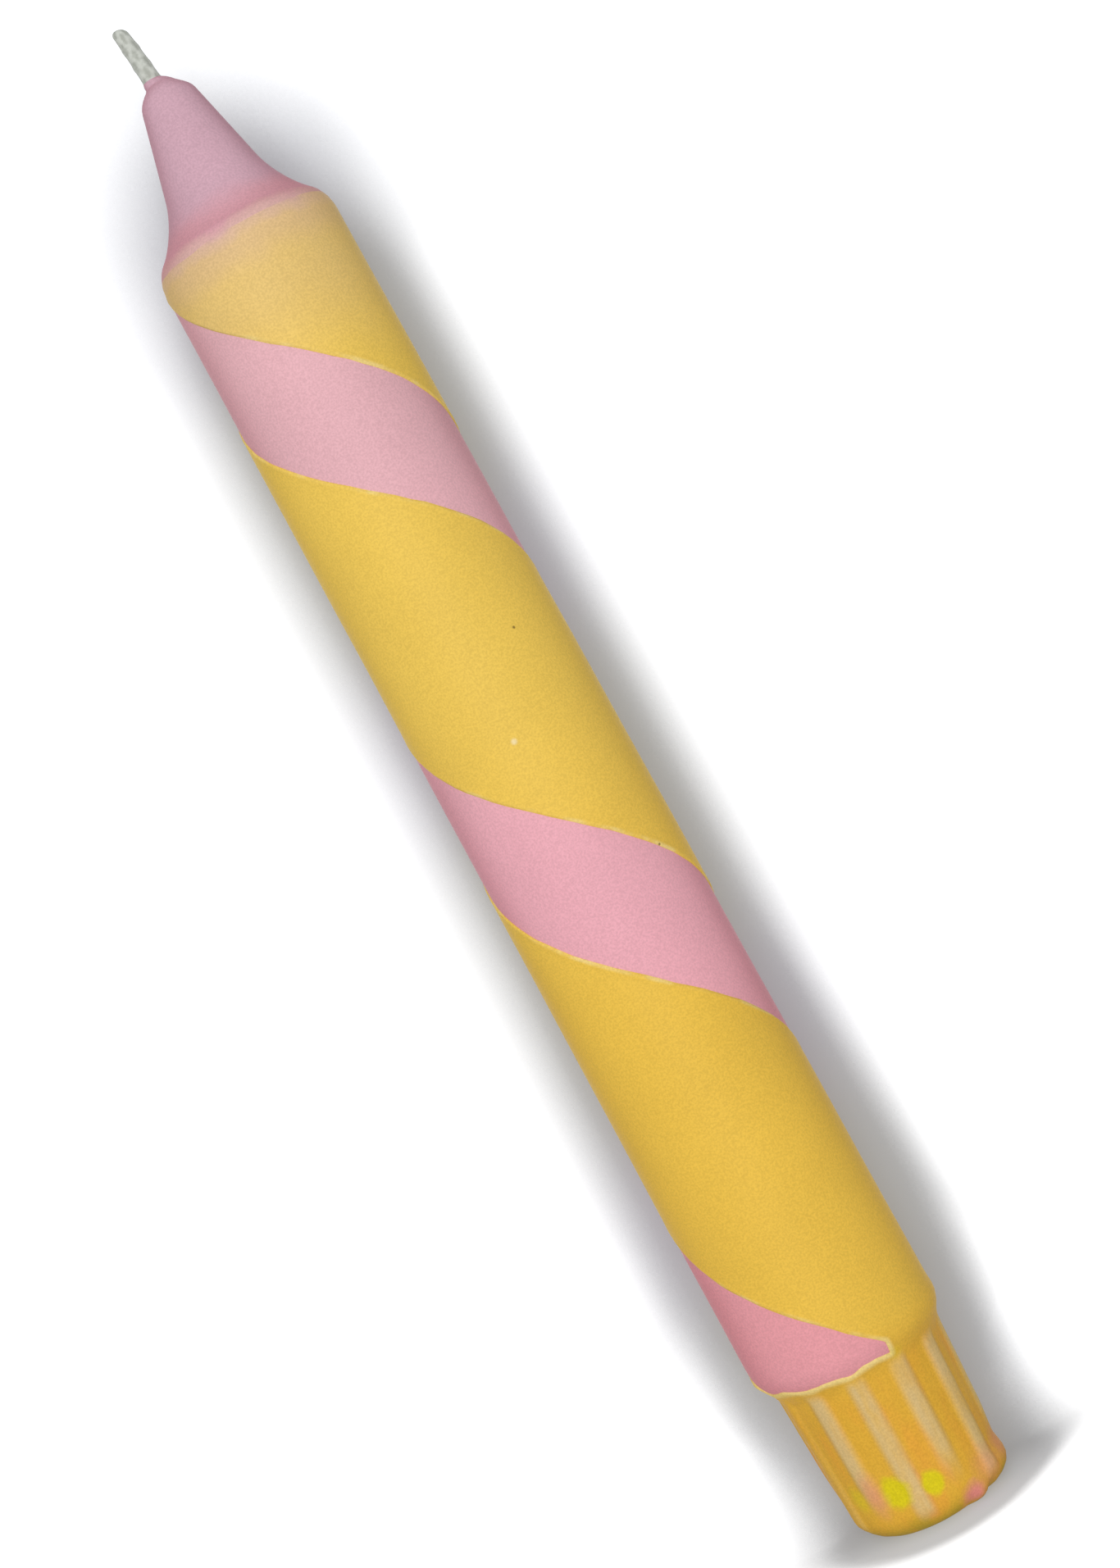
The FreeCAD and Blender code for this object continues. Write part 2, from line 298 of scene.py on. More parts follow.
class CandleColours(bpy.types.PropertyGroup):
    """Colours of the wax, the coat and the wick."""

    # Painted shade: the cone's pink is the core's wax made darker and greyer for the shade on the nose and
    # cone
    cone_pink_and_shade: tint("Cone pink", "Nose and cone", 208, 167, 181)
    dip_pink: tint("Dip pink", "Band just above the dip line", 215, 159, 169)
    upper_pink: tint("Upper pink", "Bare band near the top", 228, 177, 184)
    middle_pink: tint("Middle pink", "Bare band at mid height", 233, 170, 181)
    lower_pink: tint("Lower pink", "Bare band near the foot", 230, 156, 163)
    dip_yellow: tint("Dip yellow", "Thin coat at the dip line", 219, 183, 152)
    edge_pink: tint("Edge pink", "Very edge of the coat at the dip line", 217, 174, 167)
    upper_yellow: tint("Upper yellow", "Coat just under the dip line", 223, 188, 134)
    shoulder_yellow: tint("Shoulder yellow", "Coat on the top of the body", 230, 195, 119)
    middle_yellow: tint("Middle yellow", "Coat at mid height", 236, 198, 88)
    lower_yellow: tint("Lower yellow", "Coat near the foot", 233, 190, 74)
    groove_yellow: tint("Groove yellow", "Grooves of the foot", 222, 171, 56)
    groove_orange: tint("Groove orange", "Thicker wax beside the ribs", 228, 158, 56)
    rib_beige: tint("Rib beige", "Worn crests of the ribs", 216, 186, 128)
    lip_yellow: tint("Lip yellow", "Lip along the coat's edges", 240, 214, 140)
    olive: tint("Olive", "Rim of the foot", 180, 153, 40)
    lemon: tint("Lemon", "Lemon drops at the foot", 218, 200, 24)
    salmon: tint("Salmon", "Pink stains at the foot", 226, 150, 112)
    drip_pink: tint("Drip pink", "Pink wax at the drip of the rim", 226, 134, 130)
    speck_dark: tint("Dark speck", "Dark specks in the coat", 110, 84, 40)
    speck_pale: tint("Pale speck", "Pale speck in the coat", 246, 226, 176)
    cotton: tint("Cotton", "Wick", 204, 207, 199)
    # Painted shade: the braid's hollows are drawn in this darker cotton
    cotton_hollow_shade: tint("Cotton shade", "Hollows of the braid", 174, 177, 168)


class CandleStage(bpy.types.PropertyGroup):
    """Floor, backdrop, lamps and camera."""

    half_width: size("Half width", "Middle of the paper sweep to its edges", 900.0)
    wall_gap: size("Wall gap", "Candle's axis to the backdrop", 13.0)
    sweep_rounding: size("Sweep rounding", "Hollow between floor and backdrop", 8.0)
    white: tint("Paper", "Floor and backdrop, a little cool against the candle's warm glow", 148, 151, 157)
    shade_reach: size("Shade reach", "How far the candle's soft shade reaches", 13.0)
    floor_reach: size("Floor reach", "How far the soft shade reaches in front of the base", 6.0)
    cone_reach: size("Cone reach", "How far the soft shade reaches beside the cone", 18.0)
    shade_floor: share("Shade floor", "Openness at which no light is added for the camera", 0.574)
    least_light: share("Least light", "Light added for the camera in the deepest shade", 0.17)
    floor_light: share("Floor light", "Further light added in the shade in front of the base", 0.2)
    foot_shade: share("Foot shade", "How much the soft shade deepens towards the foot", 0.6)
    world_level: share("World level", "Light from all round", 0.445)
    lamp_power: power("Lamp power", "Power of the main lamp", 6.3)
    lamp_side: size("Lamp side", "Side of the main lamp", 600.0)
    lamp_left: size("Lamp left", "Main lamp to the left of the candle", 110.0)
    lamp_front: size("Lamp front", "Main lamp in front of the candle", 1000.0)
    lamp_height: size("Lamp height", "Main lamp above the floor", 260.0)
    back_power: power("Back power", "Power of the lamp behind", 5.0)
    back_side: size("Back side", "Side of the lamp behind", 900.0)
    back_distance: size("Back distance", "Lamp behind to the candle's axis", 1000.0)
    camera_front: size("Camera front", "Camera to the candle's axis", 303.3)
    camera_height: size("Camera height", "Camera above the floor", 100.8)
    camera_roll: turn("Camera roll", "Turn of the camera about its own axis", 28.6)
    focal_pixels: pixels("Focal length", "Focal length in pixels of the picture", 3333.0)
    axis_pixel_x: pixels("Axis pixel X", "Where the camera's axis is, from the picture's left", 609.2)
    axis_pixel_y: pixels("Axis pixel Y", "Where the camera's axis is, from the picture's top", 862.7)


# Small sums

def ease(value):
    """Smooth step from 0 to 1."""
    value = min(max(value, 0.0), 1.0)
    return value * value * (3 - 2 * value)


def between(value, start, end):
    """Smooth step as value goes from start to end."""
    return ease((value - start) / (end - start))


def hump(value, middle, reach):
    """Smooth hump that is 1 at middle and 0 beyond reach."""
    return ease(1 - abs(value - middle) / reach)


def turned_from(angle, other):
    """Angle less another, from minus half a turn to half a turn."""
    return (angle - other + math.pi) % math.tau - math.pi


def wander(point, spacing):
    """Smooth noise from about -1 to 1 that changes over a spacing."""
    return noise.noise(Vector(point) / spacing)


def off_axis(point):
    """Distance of a point from the candle's axis."""
    return math.hypot(point.x, point.y)


def from_front(point):
    """Direction of a point from the front, to the right, from minus half a turn to half a turn."""
    return turned_from(math.atan2(point.y, point.x), FRONT)


def linear(colour):
    """Colour as the shader reads it, from the levels that it shows."""
    return [c / 12.92 if c <= 0.04045 else ((c + 0.055) / 1.055) ** 2.4 for c in colour] + [1.0]


# Outlines

def tangent_reach(corners, index):
    """How far a corner's rounding reaches along its two lines."""
    here, before, after = (Vector(corners[i][:2]) for i in (index, index - 1, index + 1))
    half_angle = (before - here).angle(after - here) / 2
    return corners[index][2] / math.tan(half_angle)


def round_corner(bm, vert, reach, segments):
    """Rounds a corner of an outline, starting at a reach along its two lines."""
    bmesh.ops.bevel(
        bm, geom=[vert], offset=reach, offset_type="OFFSET", segments=segments, profile=0.5,
        affect="VERTICES", clamp_overlap=False, material=-1)


def add_outline(bm, corners, segments):
    """Rounded outline through (radius, height, rounding) corners that starts and ends on the axis."""
    verts = [bm.verts.new((radius, 0, height)) for radius, height, _ in corners]
    bm.faces.new(verts)
    for index in range(1, len(corners) - 1):
        if corners[index][2] > 0:
            round_corner(bm, verts[index], tangent_reach(corners, index), segments)
    bmesh.ops.delete(bm, geom=bm.faces[:], context="FACES_ONLY")
    closing = [e for e in bm.edges if all(abs(v.co.x) < ON_AXIS for v in e.verts)]
    bmesh.ops.delete(bm, geom=closing, context="EDGES")


def divide_outline(bm, gap_at):
    """Cuts each edge of an outline so that its rings lie a gap apart."""
    for edge in bm.edges[:]:
        middle = (edge.verts[0].co + edge.verts[1].co) / 2
        cuts = math.ceil(edge.calc_length() / gap_at(middle.z)) - 1
        if cuts > 0:
            bmesh.ops.subdivide_edges(bm, edges=[edge], cuts=cuts)


def spin_outline(bm, columns):
    """Turns the outline about the candle's axis into a closed surface that faces outwards."""
    bmesh.ops.spin(
        bm, geom=bm.verts[:] + bm.edges[:], cent=(0, 0, 0), axis=(0, 0, 1), dvec=(0, 0, 0),
        angle=math.tau, steps=columns, use_merge=True, use_normal_flip=False, use_duplicate=False)
    bmesh.ops.remove_doubles(bm, verts=bm.verts, dist=MERGE)
    bmesh.ops.recalc_face_normals(bm, faces=bm.faces)


def add_object(name, data):
    """Object in the scene that shows a mesh, a lamp or the camera."""
    item = bpy.data.objects.new(name, data)
    bpy.context.scene.collection.objects.link(item)
    return item


def mesh_object(bm, name, material):
    """Object in the scene made of a bmesh, which is freed, with smooth faces of one material."""
    mesh = bpy.data.meshes.new(name)
    bm.to_mesh(mesh)
    bm.free()
    mesh.shade_smooth()
    mesh.materials.append(material)
    return add_object(name, mesh)


def finish_piece(bm, name, material, node):
    """Makes the mesh an object that stands for a node and rides on the candle's body."""
    piece = mesh_object(bm, name, material)
    piece.data.set_sharp_from_angle(angle=SHARP_ANGLE)
    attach(piece, "root")
    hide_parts(node)


# Forms that core and coat share

def dip_height(wax, coat):
    """Height of the dip line above the base."""
    return wax.wax_height - coat.dip_distance


def surface_wave(wax, point):
    """Slow unevenness of the hand-made body at a point of its surface."""
    fade = between(point.z, 0, CALM_BASE) * between(point.z, wax.wax_height, wax.wax_height - CALM_NOSE)
    return wax.waviness * fade * wander(point, wax.wave_length)


def foot_shift(foot, height):
    """Sideways shift of the pressed foot at a height."""
    return foot.offset * between(height, foot.length + 2 * foot.step_length, foot.length)


def move_outwards(vert, distance):
    """Moves a vertex away from the candle's axis."""
    radius = off_axis(vert.co)
    if radius > 0:
        scale = (radius + distance) / radius
        vert.co.x *= scale
        vert.co.y *= scale


def wick_centre(wax, wick, height):
    """Point of the wick's middle line at a height."""
    start = wax.wax_height - wick.bend_depth
    rise = max(0.0, height - start)
    lean = wick.bend_radius - math.sqrt(wick.bend_radius ** 2 - rise ** 2)
    return Vector((-lean, 0, height))


# Pink core

def core_corners(wax, foot, skin):
    """Outline of the core, a skin inside the dipped body, from its base over the nose to the axis."""
    neck = wax.wax_height - wax.neck_length
    slope = math.atan((wax.neck_radius - wax.nose_radius) / wax.neck_length)
    nose_rounding = wax.nose_radius * math.tan((math.pi / 2 + slope) / 2) * NOSE_ROUND
    return [
        (0, skin, 0),
        (foot.bottom_radius - skin, skin, foot.rim_rounding - skin),
        (foot.top_radius - skin, foot.length, foot.inner_rounding),
        (wax.bottom_radius - skin, foot.length + foot.step_length, foot.outer_rounding),
        (wax.top_radius - skin, wax.wax_height - wax.cone_length, wax.shoulder_rounding),
        (wax.neck_radius, neck, wax.neck_rounding),
        (wax.nose_radius, wax.wax_height, nose_rounding),
        (0, wax.wax_height, 0),
    ]


def draw_ring(bm, edges, old_centre, new_centre, radius):
    """Extrudes a loop of edges to a ring of another radius and place."""
    made = bmesh.ops.extrude_edge_only(bm, edges=edges)["geom"]
    for vert in (item for item in made if isinstance(item, bmesh.types.BMVert)):
        outwards = vert.co - old_centre
        outwards.z = 0
        vert.co = new_centre + outwards.normalized() * radius
    return [item for item in made if isinstance(item, bmesh.types.BMEdge) and item.is_boundary]


def bore_for_wick(bm, wax, wick, base):
    """Opens the nose, draws its wax up into a collar and sinks the bore down to the base."""
    collar_start = wick.radius + COLLAR_START * wick.collar_width
    half_way = wax.wax_height / 2
    middle = [v for v in bm.verts if off_axis(v.co) < (collar_start if v.co.z > half_way else wick.radius)]
    bmesh.ops.delete(bm, geom=middle, context="VERTS")
    open_edges = [e for e in bm.edges if e.is_boundary]
    top = [e for e in open_edges if e.verts[0].co.z > half_way]
    bottom = [e for e in open_edges if e.verts[0].co.z < half_way]
    rim_height = max(v.co.z for e in top for v in e.verts)
    collar_height = wax.wax_height + wick.collar_rise - rim_height
    rings = [
        (part, rim_height + part * collar_height, wick.radius + spread * wick.collar_width)
        for part, spread in COLLAR_RINGS]
    bore_depths = (0, wick.bend_depth / 2, wick.bend_depth, wax.wax_height - base)
    rings += [(1, wax.wax_height - depth, wick.radius) for depth in bore_depths]
    centre = Vector((0, 0, 0))
    for lean_part, height, radius in rings:
        new_centre = wick_centre(wax, wick, height)
        new_centre.x *= lean_part
        top = draw_ring(bm, top, centre, new_centre, radius)
        centre = new_centre
    bmesh.ops.bridge_loops(bm, edges=top + bottom)
    bmesh.ops.recalc_face_normals(bm, faces=bm.faces)


def sag_of_nose(wax, wick, point):
    """How far the nose sags at a point, most on the side away from the wick's lean."""
    near_top = between(point.z, wax.wax_height - SAG_DEPTH, wax.wax_height)
    aside = between(abs(point.x), SAG_START * wick.radius, wax.nose_radius)
    return wax.nose_sag * near_top * aside * (1 if point.x > 0 else LEFT_SAG)


def make_core_mesh(wax, foot, coat, wick):
    """Pink core: turned, bored for the wick and made a little uneven."""
    bm = bmesh.new()
    add_outline(bm, core_corners(wax, foot, coat.thickness), CORE_ARC)
    divide_outline(bm, lambda height: wax.ring_gap)
    spin_outline(bm, wax.columns)
    for vert in bm.verts:
        move_outwards(vert, surface_wave(wax, vert.co))
        vert.co.x += foot_shift(foot, vert.co.z)
        vert.co.z -= sag_of_nose(wax, wick, vert.co)
    bore_for_wick(bm, wax, wick, coat.thickness)
    return bm


# Yellow coat

def coat_corners(wax, foot, coat):
    """Outline of the coat's outer surface from its base to the axis above the dip line."""
    dip = dip_height(wax, coat)
    end_slope = (wax.bottom_radius - foot.top_radius) / foot.step_length
    last_rounding = LAST_ROUNDING * coat.dip_rounding
    return [
        (0, 0, 0),
        (foot.bottom_radius, 0, foot.rim_rounding),
        (foot.top_radius, foot.length, foot.inner_rounding),
        (foot.top_radius + end_slope * (coat.band_end - foot.length), coat.band_end, 0),
        (wax.bottom_radius, foot.length + foot.step_length, foot.outer_rounding),
        (wax.top_radius, dip - coat.dip_run, coat.dip_rounding),
        (wax.top_radius - THINNING * coat.dip_drop, dip - coat.dip_edge, last_rounding),
        (wax.top_radius - coat.dip_drop, dip, 0),
        (0, dip, 0),
    ]


def pitch_change(wax, coat):
    """How much the band's pitch changes over a length of the coat, as a share of that length."""
    return (coat.top_pitch - coat.bottom_pitch) / (dip_height(wax, coat) - coat.band_end)


def band_pitch(wax, coat, height):
    """Rise of one turn of the band at a height."""
    return coat.bottom_pitch + pitch_change(wax, coat) * (height - coat.band_end)


def band_edge(wax, coat, height):
    """Direction of the band's leading edge at a height, in closed form for an even change of pitch."""
    height = max(height, coat.band_blunt)
    ratio = band_pitch(wax, coat, height) / band_pitch(wax, coat, coat.pass_height)
    return FRONT - math.tau / pitch_change(wax, coat) * math.log(ratio)


def column_of(coat, point):
    """Column of the coat's mesh that a point lies in, counted from +X, and how many the band takes."""
    column_turn = math.tau / coat.columns
    return (math.atan2(point.y, point.x) % math.tau) / column_turn, round(coat.band_angle / column_turn)


def cut_band(bm, coat):
    """Takes out the faces of the columns that the tape covered, down to the foot."""
    bare = []
    for face in bm.faces:
        middle = face.calc_center_median()
        column, band_columns = column_of(coat, middle)
        if column < band_columns and middle.z > coat.band_end:
            bare.append(face)
    bmesh.ops.delete(bm, geom=bare, context="FACES")


def column_direction(coat, vert):
    """Direction of a vertex's column behind the leading edge, with columns crowded at both edges."""
    column, band_columns = column_of(coat, vert.co)
    column = round(column) % coat.columns
    if column <= band_columns:
        return coat.band_angle * (column / band_columns - 1)
    part = (column - band_columns) / (coat.columns - band_columns)
    part -= coat.edge_packing * math.sin(math.tau * part) / math.tau
    return (math.tau - coat.band_angle) * part


def wind_columns(bm, wax, coat):
    """Turns every column so that it follows the band's edges up the candle."""
    for vert in bm.verts:
        radius = off_axis(vert.co)
        if radius > ON_AXIS:
            direction = column_direction(coat, vert) + band_edge(wax, coat, vert.co.z)
            vert.co.x = radius * math.cos(direction)
            vert.co.y = radius * math.sin(direction)


def edge_distance(wax, coat, point):
    """Distance along the surface from a point of the coat to the nearest edge of the bare band."""
    radius = off_axis(point)
    ahead = (math.atan2(point.y, point.x) - band_edge(wax, coat, point.z)) % math.tau
    bare = math.tau - coat.band_angle
    steepness = 1.0
    if point.z > coat.band_blunt and radius > 0:
        rise = band_pitch(wax, coat, point.z) / math.tau
        steepness = rise / math.hypot(rise, radius)
    across = radius * max(0.0, min(ahead, bare - ahead)) * steepness
    below = max(0.0, coat.band_end - point.z)
    return math.hypot(across, below)


def shoulder_fall(wax, height):
    """How far the rounding of the core's shoulder has drawn in at a height."""
    corner = wax.wax_height - wax.cone_length
    flare = math.atan((wax.top_radius - wax.neck_radius) / (wax.cone_length - wax.neck_length))
    over = height - corner + wax.shoulder_rounding * math.tan(flare / 2)
    over = min(max(over, 0.0), ARC_END * wax.shoulder_rounding)
    return wax.shoulder_rounding - math.sqrt(wax.shoulder_rounding ** 2 - over ** 2)


def step_radius(wax, foot, height):
    """Radius of the sloping step and of the body above it at a height."""
    part = min(max((height - foot.length) / foot.step_length, 0.0), 1.0)
    return foot.top_radius + (wax.bottom_radius - foot.top_radius) * part


def rib_mask(foot, point):
    """1 on the crest of a rib and 0 in the grooves."""
    pitch = math.tau / foot.rib_count
    turned = turned_from(math.atan2(point.y, point.x), FRONT + foot.rib_turn) / pitch
    off = abs(turned - round(turned)) * pitch * off_axis(point)
    across = 1 - between(off, RIB_CREST * foot.rib_width, foot.rib_width / 2)
    rib_end = foot.rib_end if round(turned) % 2 else foot.worn_rib_end
    low = between(point.z, (1 - RIB_FADE) * rib_end, (1 + RIB_FADE) * rib_end)
    top_start, top_end = (foot.length + part * foot.step_length for part in RIB_TOP)
    return across * low * (1 - between(point.z, top_start, top_end))


def rim_growth(point):
    """Extra wax at the rim of the foot, from its swells."""
    direction = from_front(point)
    growth = 0.0
    for middle, reach, end_low, end_high, most in RIM_SWELLS:
        around = hump(direction, math.radians(middle), math.radians(reach))
        growth += most * MM * around * (1 - between(point.z, end_low * MM, end_high * MM))
    return growth


def left_climb(point):
    """1 where the coat's edge over the foot climbs highest, at the left, and 0 away from there."""
    direction = from_front(point)
    climb = sum(
        part * between(direction, math.radians(start), math.radians(end)) for part, start, end in LEFT_CLIMB)
    behind, left = LEFT_FALL
    return climb * between(direction, math.radians(behind), math.radians(left))


def foot_line_lift(foot, coat, point):
    """How far the coat's edge over the foot rises or sags, in a scallop at each groove."""
    scallop = -SCALLOP * math.cos(foot.rib_count * (from_front(point) - foot.rib_turn))
    return scallop + coat.left_rise * left_climb(point)


def faces_out(vert):
    """Whether a vertex of the coat belongs to its outer side."""
    inside_point = Vector((0, 0, max(vert.co.z, INSIDE_HEIGHT)))
    return vert.normal.dot(vert.co - inside_point) > 0


def lip_width_at(coat, point):
    """Width of the lip, which is wider where the band stops over the foot."""
    return coat.lip_width * (1 + WIDER_LIP * between(point.z, coat.band_end + OVER_FOOT, coat.band_end))


def rounded_edge(coat, distance):
    """Growth of the coat's outer side at a distance from its edge: rounded off, with a bead behind."""
    round_start, round_end = (part * coat.lip_width for part in EDGE_ROUND)
    fall = EDGE_LOSS * coat.thickness * (1 - between(distance, round_start, round_end))
    return coat.lip_height * hump(distance, BEAD_MIDDLE * coat.lip_width, coat.lip_width) - fall


def shape_coat(bm, wax, foot, coat):
    """Gives the coat its lips, ribs, waves, drips and uneven edges, and keeps masks for its material."""
    lip = bm.verts.layers.float.new("lip")
    rib = bm.verts.layers.float.new("rib")
    dip = dip_height(wax, coat)
    bm.normal_update()
    outer = [faces_out(vert) for vert in bm.verts]
    for vert, is_outer in zip(bm.verts, outer):
        point = vert.co.copy()
        distance = edge_distance(wax, coat, point)
        under_dip = 1 - between(point.z, dip - LIP_END, dip)
        lip_start, lip_end = (part * lip_width_at(coat, point) for part in LIP_COLOUR)
        vert[lip] = (1 - between(distance, lip_start, lip_end)) * under_dip
        vert[rib] = rib_mask(foot, point)
        growth = surface_wave(wax, point) + foot.rib_height * vert[rib] + rim_growth(point)
        near_foot = hump(point.z, coat.band_end, FOOT_EDGE_REACH)
        if is_outer:
            growth += rounded_edge(coat, distance) * under_dip
            growth += DENT * wander(point, DENT_GAP) * between(point.z, *DENT_END)
            if distance < coat.lip_width:
                growth += coat.left_lip * left_climb(point) * near_foot
        ragged = coat.ragged * wander(point, RAGGED_GAP) * (1 - between(distance, 0, RAGGED_REACH))
        foot_lift = foot_line_lift(foot, coat, point) * near_foot + ragged
        dip_lift = math.tan(coat.dip_tilt) * point.x + DIP_WANDER * wander(point, DIP_GAP)
        dip_lift *= between(point.z, dip - DIP_REACH, dip)
        growth += step_radius(wax, foot, point.z + foot_lift) - step_radius(wax, foot, point.z)
        growth += shoulder_fall(wax, point.z) - shoulder_fall(wax, point.z + dip_lift)
        move_outwards(vert, growth)
        vert.co.z += foot_lift + dip_lift
        vert.co.x += foot_shift(foot, point.z)


def make_coat_mesh(wax, foot, coat):
    """Yellow coat: turned, cut open along the band, wound, given its wall and shaped."""
    def gap_at(height):
        if abs(height - coat.band_end) < NEAR_EDGE:
            return coat.lip_ring_gap
        return coat.foot_ring_gap if height < foot.length + foot.step_length else coat.ring_gap

    bm = bmesh.new()
    add_outline(bm, coat_corners(wax, foot, coat), COAT_ARC)
    top_corner = [v for v in bm.verts if v.co.x == 0 and v.co.z > wax.wax_height / 2]
    bmesh.ops.delete(bm, geom=top_corner, context="VERTS")
    divide_outline(bm, gap_at)
    spin_outline(bm, coat.columns)
    cut_band(bm, coat)
    wind_columns(bm, wax, coat)
    bm.normal_update()
    bmesh.ops.solidify(bm, geom=bm.faces[:], thickness=coat.thickness)
    bmesh.ops.recalc_face_normals(bm, faces=bm.faces)
    shape_coat(bm, wax, foot, coat)
    return bm


# Wick

def strand_height(wick, direction, height):
    """Relief of the braid: strands that wind both ways, each passing over and under."""
    phase = wick.strands * direction
    climb = wick.strands * math.tau * height / wick.strand_pitch
    upper = max(math.cos(phase + climb), math.cos(phase - climb))
    return STRAND_SHARE * upper + CROSSING_SHARE * math.cos(2 * climb)


def shape_strands(bm, wax, wick):
    """Gives the stub its braid and its slanting cut end, and keeps its relief as a mask for the painted
    shade in the braid's hollows.
    """
    strand = bm.verts.layers.float.new("strand")
    nose = wax.wax_height
    tip = nose + wick.stub_length
    for vert in bm.verts:
        off = vert.co - wick_centre(wax, wick, vert.co.z)
        braid = strand_height(wick, math.atan2(off.y, off.x), vert.co.z)
        vert[strand] = braid
        shown_part = between(vert.co.z, nose - RELIEF_START, nose)
        relief = braid - MEAN_RELIEF + FUZZ * wander(vert.co, FUZZ_GAP)
        vert.co += off.normalized() * wick.strand_relief * relief * shown_part
        slant = between(vert.co.z, nose + SLANT_START * wick.stub_length, tip)
        vert.co.z -= SLANT * (off.x + SLANT_HINGE * wick.tip_radius) * slant


def make_wick_mesh(wax, wick, base):
    """Round braided wick: straight in the wax, leaning above it, worn round at its cut end."""
    bm = bmesh.new()
    bmesh.ops.create_circle(bm, cap_ends=False, segments=wick.columns, radius=wick.radius)
    bmesh.ops.translate(bm, verts=bm.verts, vec=(0, 0, base))
    bottom = bm.edges[:]
    nose = wax.wax_height
    buried = [nose - wick.bend_depth * part for part in BURIED_RINGS]
    rings = math.ceil(wick.stub_length / wick.ring_gap)
    shown = [nose + wick.stub_length * index / rings for index in range(rings + 1)]
    edges = bottom
    centre = Vector((0, 0, base))
    for height in buried + shown:
        new_centre = wick_centre(wax, wick, height)
        part = max(0.0, height - nose) / wick.stub_length
        radius = wick.radius + (wick.tip_radius - wick.radius) * part
        to_end = min((1 - part) * wick.stub_length / radius, 1.0)
        radius *= WICK_FLAT + (1 - WICK_FLAT) * math.sqrt(1 - (1 - to_end) ** 2)
        edges = draw_ring(bm, edges, centre, new_centre, radius)
        centre = new_centre
    bmesh.ops.contextual_create(bm, geom=edges)
    bmesh.ops.contextual_create(bm, geom=bottom)
    shape_strands(bm, wax, wick)
    bmesh.ops.recalc_face_normals(bm, faces=bm.faces)
    return bm


# Shader node groups that several materials share

def new_group(name, inputs, outputs):
    """Empty shader node group with named inputs and outputs."""
    group = bpy.data.node_groups.new(name, "ShaderNodeTree")
    for socket, kind in inputs:
        group.interface.new_socket(name=socket, in_out="INPUT", socket_type=kind)
    for socket, kind in outputs:
        group.interface.new_socket(name=socket, in_out="OUTPUT", socket_type=kind)
    return group, group.nodes.new("NodeGroupInput"), group.nodes.new("NodeGroupOutput")


def add_noise(tree, vector, scale, detail=2.0, roughness=0.5):
    """Noise texture that reads a vector."""
    node = tree.nodes.new("ShaderNodeTexNoise")
    node.inputs["Scale"].default_value = scale
    node.inputs["Detail"].default_value = detail
    node.inputs["Roughness"].default_value = roughness
    tree.links.new(vector, node.inputs["Vector"])
    return node.outputs["Fac"]


def add_math(tree, operation, first, second=None, third=None, clamp=False):
    """Math node on sockets or plain numbers."""
    node = tree.nodes.new("ShaderNodeMath")
    node.operation = operation
    node.use_clamp = clamp
    for slot, value in enumerate((first, second, third)):
        if isinstance(value, (int, float)):
            node.inputs[slot].default_value = value
        elif value is not None:
            tree.links.new(value, node.inputs[slot])
    return node.outputs[0]


def add_vector_math(tree, operation, first, second=None):
    """Vector math node on a socket and, where it takes two, a socket or a plain vector."""
    node = tree.nodes.new("ShaderNodeVectorMath")
    node.operation = operation
    tree.links.new(first, node.inputs[0])
    if isinstance(second, tuple):
        node.inputs[1].default_value = second
    elif second is not None:
        tree.links.new(second, node.inputs["Scale" if operation == "SCALE" else 1])
    return node.outputs["Value" if operation == "LENGTH" else "Vector"]


def add_range(tree, value, low, high, new_low=0.0, new_high=1.0):
    """Smooth map of a value from one range to another."""
    node = tree.nodes.new("ShaderNodeMapRange")
    node.interpolation_type = "SMOOTHSTEP"
    tree.links.new(value, node.inputs["Value"])
    for socket, number in (("From Min", low), ("From Max", high), ("To Min", new_low), ("To Max", new_high)):
        if isinstance(number, (int, float)):
            node.inputs[socket].default_value = number
        else:
            tree.links.new(number, node.inputs[socket])
    return node.outputs["Result"]


def add_patches(tree, vector, scale, detail, cut, levels=(0.0, 1.0)):
    """Noise that goes smoothly from one level to the other between the two values where it is cut."""
    return add_range(tree, add_noise(tree, vector, scale, detail), *cut, *levels)


def add_mix(tree, mask, first, second, blend="MIX"):
    """Colour mix of sockets or plain colours by a mask or a number."""
    node = tree.nodes.new("ShaderNodeMix")
    node.data_type = "RGBA"
    node.blend_type = blend
    for socket, value in ((node.inputs[0], mask), (node.inputs[6], first), (node.inputs[7], second)):
        if isinstance(value, (int, float, list, tuple)):
            socket.default_value = value
        else:
            tree.links.new(value, socket)
    return node.outputs[2]


def add_bump(tree, shader, height, strength, distance):
    """Fine relief on a material's surface."""
    relief = tree.nodes.new("ShaderNodeBump")
    relief.inputs["Strength"].default_value = strength
    relief.inputs["Distance"].default_value = distance
    tree.links.new(height, relief.inputs["Height"])
    tree.links.new(relief.outputs["Normal"], shader.inputs["Normal"])


def add_attribute(tree, name):
    """Mask that the mesh carries."""
    node = tree.nodes.new("ShaderNodeAttribute")
    node.attribute_name = name
    return node.outputs["Fac"]


def add_place(tree, coordinates, axis):
    """Place along one axis."""
    split = tree.nodes.new("ShaderNodeSeparateXYZ")
    tree.links.new(coordinates, split.inputs[0])
    return split.outputs[axis]


def add_height_mask(tree, coordinates, none, full, axis="Z"):
    """Mask that is 0 at one height, or place along another axis, and 1 at another."""
    return add_range(tree, add_place(tree, coordinates, axis), none, full)


def add_facing_mask(tree, none, full):
    """Mask that is 0 where the surface faces the view and 1 where it turns away."""
    facing = tree.nodes.new("ShaderNodeLayerWeight")
    facing.inputs["Blend"].default_value = 0.5
    return add_range(tree, facing.outputs["Facing"], none, full)


